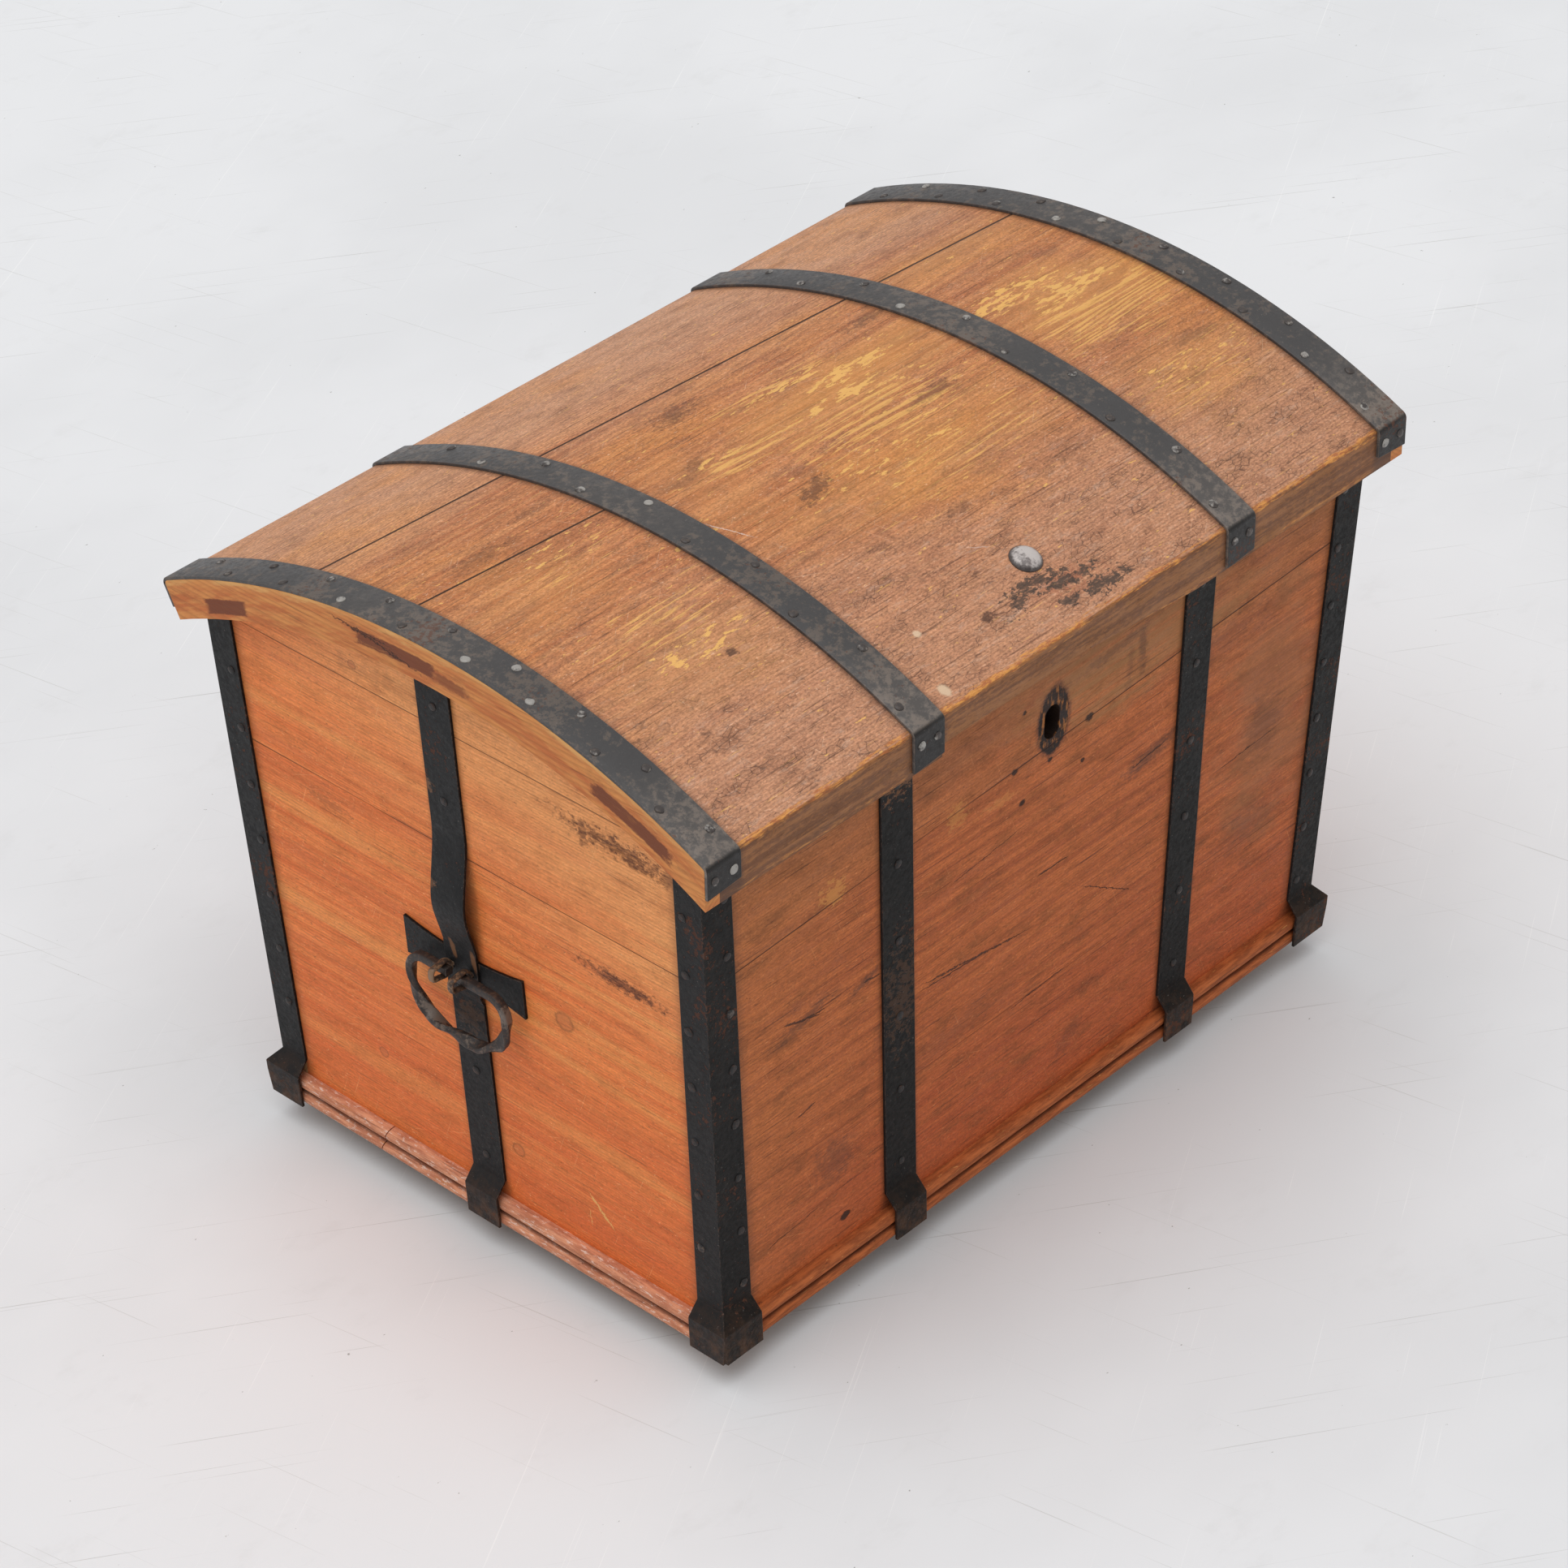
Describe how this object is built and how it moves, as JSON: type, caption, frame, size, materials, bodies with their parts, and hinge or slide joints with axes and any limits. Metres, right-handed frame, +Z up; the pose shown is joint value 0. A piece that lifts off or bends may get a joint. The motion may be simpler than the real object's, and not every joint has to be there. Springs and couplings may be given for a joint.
{
  "type": "dome-top chest",
  "caption": "Iron-bound wooden chest with splayed walls, a domed lid on strap hinges, a drop handle on each end, and a keyhole with a lock inside the front.",
  "frame": {"origin": "on the floor, below the middle of the lid", "axes": "+X along the chest's length, to the right seen from the keyhole side; -Y is the front with the keyhole; +Z up"},
  "size_m": [0.92, 0.6484, 0.679],
  "materials": {
    "front_wood": "worn red-brown paint over pine",
    "rear_wood": "worn red-brown paint over pine",
    "end_wood": "orange-brown stained pine",
    "bottom_wood": "bare sawn pine",
    "moulding_wood": "worn red-brown paint",
    "lid_wood": "brown paint worn to ochre wood",
    "cleat_wood": "worn ochre wood with paint left in the grain",
    "strap_iron": "blackened sheet iron",
    "band_iron": "dark worn sheet iron",
    "nail_iron": "worn wrought iron",
    "handle_iron": "forged iron, lightly rusted",
    "lock_iron": "forged iron, lightly rusted",
    "rivet_iron": "forged iron, worn smooth"
  },
  "bodies": {
    "chest": {"front_board_lower": "front_wood", "front_board_middle": "front_wood", "front_board_upper": "front_wood", "rear_board_lower": "rear_wood", "rear_board_middle": "rear_wood", "rear_board_upper": "rear_wood", "left_end_board_lower": "end_wood", "left_end_board_upper": "end_wood", "left_gable_board": "end_wood", "right_end_board_lower": "end_wood", "right_end_board_upper": "end_wood", "right_gable_board": "end_wood", "bottom_boards": "bottom_wood", "skids": "bottom_wood", "front_moulding": "moulding_wood", "rear_moulding": "moulding_wood", "left_moulding": "moulding_wood", "right_moulding": "moulding_wood", "left_front_strap": "strap_iron", "right_front_strap": "strap_iron", "left_rear_strap": "strap_iron", "right_rear_strap": "strap_iron", "front_left_corner_strap": "strap_iron", "front_right_corner_strap": "strap_iron", "rear_left_corner_strap": "strap_iron", "rear_right_corner_strap": "strap_iron", "left_end_strap": "strap_iron", "right_end_strap": "strap_iron", "left_handle_plate": "strap_iron", "right_handle_plate": "strap_iron", "corner_strap_nails": "nail_iron", "front_strap_nails": "nail_iron", "rear_strap_nails": "nail_iron", "left_end_strap_nails": "nail_iron", "right_end_strap_nails": "nail_iron", "left_handle_eyes": "handle_iron", "right_handle_eyes": "handle_iron", "left_hinge_pin": "band_iron", "right_hinge_pin": "band_iron", "lock_plate": "lock_iron", "lock_case": "lock_iron", "lock_spring": "lock_iron"},
    "lid": {"lid_board_front": "lid_wood", "lid_board_front_middle": "lid_wood", "lid_board_rear_middle": "lid_wood", "lid_board_rear": "lid_wood", "lid_lip_strips": "lid_wood", "left_lid_cleat": "cleat_wood", "right_lid_cleat": "cleat_wood", "left_end_band": "band_iron", "right_end_band": "band_iron", "left_hinge_band": "band_iron", "right_hinge_band": "band_iron", "lid_nails": "nail_iron", "lid_hasp": "lock_iron", "lid_rivet": "rivet_iron"},
    "left_bail": {"left_bail": "handle_iron"},
    "right_bail": {"right_bail": "handle_iron"},
    "lock_bolt": {"lock_bolt": "lock_iron"}
  },
  "joints": [
    {"name": "lid_hinge", "type": "hinge", "parent": "chest", "child": "lid", "pos_m": [0, 0.29853, 0.5585], "axis": [-1, 0, 0], "range_deg": [0, 105]},
    {"name": "left_handle_swing", "type": "hinge", "parent": "chest", "child": "left_bail", "pos_m": [-0.43964, 0.008, 0.318], "axis": [0, 1, 0], "range_deg": [-5, 165]},
    {"name": "right_handle_swing", "type": "hinge", "parent": "chest", "child": "right_bail", "pos_m": [0.43964, 0.008, 0.318], "axis": [0, -1, 0], "range_deg": [-5, 165]},
    {"name": "lock_bolt_slide", "type": "slide", "parent": "chest", "child": "lock_bolt", "axis": [1, 0, 0], "range_m": [0, 0.014]}
  ]
}
